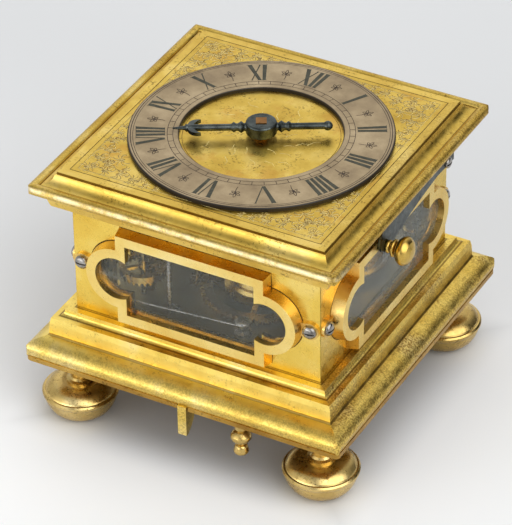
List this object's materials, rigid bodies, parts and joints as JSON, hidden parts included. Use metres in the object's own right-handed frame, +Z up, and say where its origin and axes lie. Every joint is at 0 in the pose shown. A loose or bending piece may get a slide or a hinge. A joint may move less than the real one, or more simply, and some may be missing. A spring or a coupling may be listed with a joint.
{
  "type": "striking table clock",
  "caption": "Square gilt table clock with a horizontal hour dial, glazed sides showing a two-train movement, a bell in the hinged base, and bun feet.",
  "frame": {"origin": "on the table, in the middle of the square of the four feet", "axes": "+Z up, +Y towards XII and the base hinge, +X towards III and the latch knob"},
  "size_m": [0.1417, 0.1427, 0.1225],
  "materials": {
    "gilt_brass": "worn gilt",
    "gilt_frames": "polished gilt",
    "bronze": "aged",
    "silvered_brass": "silvered, tarnished",
    "movement_brass": "satin",
    "blued_steel": "blued",
    "steel": "satin",
    "bell_metal": "satin",
    "gut": "matte",
    "glass": "clear"
  },
  "bodies": {
    "base": {"bottom_plate": "gilt_brass", "feet": "bronze", "foot_nuts": "steel", "bell": "bell_metal", "bell_stud": "steel", "bell_nut": "steel", "pull_knob": "bronze", "hinge_lower_leaf": "gilt_brass", "hinge_pin": "steel"},
    "case": {"hinge_upper_leaf": "gilt_brass", "base_moulding": "gilt_brass", "case_wall_front": "gilt_brass", "case_wall_right": "gilt_brass", "case_wall_back": "gilt_brass", "case_wall_left": "gilt_brass", "cornice": "gilt_brass", "window_frame_front": "gilt_frames", "window_frame_right": "gilt_frames", "window_frame_back": "gilt_frames", "window_frame_left": "gilt_frames", "window_glasses": "glass", "window_screws": "blued_steel", "dial_plate": "gilt_brass", "chapter_ring": "silvered_brass", "lower_plate": "movement_brass", "upper_plate": "movement_brass", "pillars": "movement_brass", "pillar_nuts": "steel", "movement_blocks": "movement_brass", "crown_potences": "movement_brass", "balance_cock": "movement_brass", "detent_spring": "steel", "fusee_line": "gut", "going_barrel_arbor": "steel"},
    "catch": {"catch_lug": "gilt_brass"},
    "latch": {"latch_spring": "blued_steel", "latch_post": "blued_steel", "latch_screw": "blued_steel", "latch_knob": "gilt_brass"},
    "hand": {"hour_hand": "blued_steel", "hour_arbor": "steel"},
    "hour_wheel": {"hour_wheel": "movement_brass"},
    "fusee": {"fusee": "movement_brass", "fusee_arbor": "steel"},
    "going_barrel": {"going_barrel": "movement_brass"},
    "second": {"second_wheel": "movement_brass"},
    "contrate": {"contrate_wheel": "movement_brass", "contrate_arbor": "steel"},
    "crown": {"crown_wheel": "movement_brass"},
    "balance": {"verge": "steel", "balance": "movement_brass"},
    "strike_barrel": {"strike_barrel": "movement_brass", "strike_barrel_arbor": "steel"},
    "pin_wheel": {"pin_wheel": "movement_brass"},
    "hoop": {"hoop_wheel": "movement_brass"},
    "fly": {"fly": "steel"},
    "count": {"count_wheel": "movement_brass"},
    "hammer": {"hammer": "steel"},
    "lifting": {"lifting_arbor": "steel"}
  },
  "joints": [
    {"name": "case_hinge", "type": "hinge", "parent": "base", "child": "case", "pos_m": [0, 0.0705, 0.0311], "axis": [-1, 0, 0], "range_deg": [0, 90]},
    {"name": "catch_slide", "type": "slide", "parent": "case", "child": "catch", "axis": [0, -1, 0], "range_m": [0, 0.0017], "stiffness_N_per_m": 300},
    {"name": "latch_lift", "type": "hinge", "parent": "case", "child": "latch", "pos_m": [0.05415, 0.044, 0.0967], "axis": [0, 0, 1], "range_deg": [0, 3.2], "stiffness_Nm_per_rad": 0.5},
    {"name": "contrate_turn", "type": "hinge", "parent": "case", "child": "contrate", "pos_m": [-0.031, -0.041, 0.07], "axis": [0, 0, 1], "continuous": true},
    {"name": "second_turn", "type": "hinge", "parent": "case", "child": "second", "pos_m": [-0.01531, -0.026, 0.07], "axis": [0, 0, 1], "continuous": true},
    {"name": "fusee_turn", "type": "hinge", "parent": "case", "child": "fusee", "pos_m": [0.00999, -0.01847, 0.07], "axis": [0, 0, 1], "continuous": true},
    {"name": "going_barrel_turn", "type": "hinge", "parent": "case", "child": "going_barrel", "pos_m": [0.03, 0.014, 0.07], "axis": [0, 0, 1], "continuous": true},
    {"name": "hour_wheel_turn", "type": "hinge", "parent": "case", "child": "hour_wheel", "pos_m": [0, 0, 0.1], "axis": [0, 0, 1], "continuous": true},
    {"name": "hand_set", "type": "hinge", "parent": "hour_wheel", "child": "hand", "pos_m": [0, 0, 0.1], "axis": [0, 0, 1], "continuous": true},
    {"name": "crown_turn", "type": "hinge", "parent": "case", "child": "crown", "pos_m": [-0.031, -0.02, 0.0645], "axis": [0, 1, 0], "continuous": true},
    {"name": "balance_swing", "type": "hinge", "parent": "case", "child": "balance", "pos_m": [-0.031, -0.004, 0.07], "axis": [0, 0, 1], "range_deg": [-35, 35]},
    {"name": "hoop_turn", "type": "hinge", "parent": "case", "child": "hoop", "pos_m": [0.01754, 0.03479, 0.07], "axis": [0, 0, 1], "continuous": true},
    {"name": "pin_wheel_turn", "type": "hinge", "parent": "case", "child": "pin_wheel", "pos_m": [0.00206, 0.03, 0.07], "axis": [0, 0, 1], "continuous": true},
    {"name": "strike_barrel_turn", "type": "hinge", "parent": "case", "child": "strike_barrel", "pos_m": [-0.022, 0.024, 0.07], "axis": [0, 0, 1], "continuous": true},
    {"name": "fly_turn", "type": "hinge", "parent": "case", "child": "fly", "pos_m": [0.03156, 0.03808, 0.07], "axis": [0, 0, 1], "continuous": true},
    {"name": "count_turn", "type": "hinge", "parent": "case", "child": "count", "pos_m": [-0.03394, 0.03205, 0.1], "axis": [0, 0, 1], "continuous": true},
    {"name": "hammer_lift", "type": "hinge", "parent": "case", "child": "hammer", "pos_m": [0.004, 0.0472, 0.07], "axis": [0, 0, -1], "range_deg": [0, 12], "stiffness_Nm_per_rad": 0.01},
    {"name": "lifting_turn", "type": "hinge", "parent": "case", "child": "lifting", "pos_m": [-0.0154, -0.0479, 0.07], "axis": [0, 0, 1], "range_deg": [0, 6], "stiffness_Nm_per_rad": 0.005}
  ],
  "couplings": [
    {"joint": "second_turn", "follows": "contrate_turn", "ratio": -0.10714},
    {"joint": "fusee_turn", "follows": "contrate_turn", "ratio": 0.010714},
    {"joint": "going_barrel_turn", "follows": "contrate_turn", "ratio": 0.0083495},
    {"joint": "hour_wheel_turn", "follows": "contrate_turn", "ratio": -0.0026786},
    {"joint": "crown_turn", "follows": "contrate_turn", "ratio": -4.5},
    {"joint": "pin_wheel_turn", "follows": "hoop_turn", "ratio": -0.125},
    {"joint": "strike_barrel_turn", "follows": "hoop_turn", "ratio": 0.013393},
    {"joint": "fly_turn", "follows": "hoop_turn", "ratio": -7},
    {"joint": "count_turn", "follows": "hoop_turn", "ratio": -0.0019133}
  ]
}
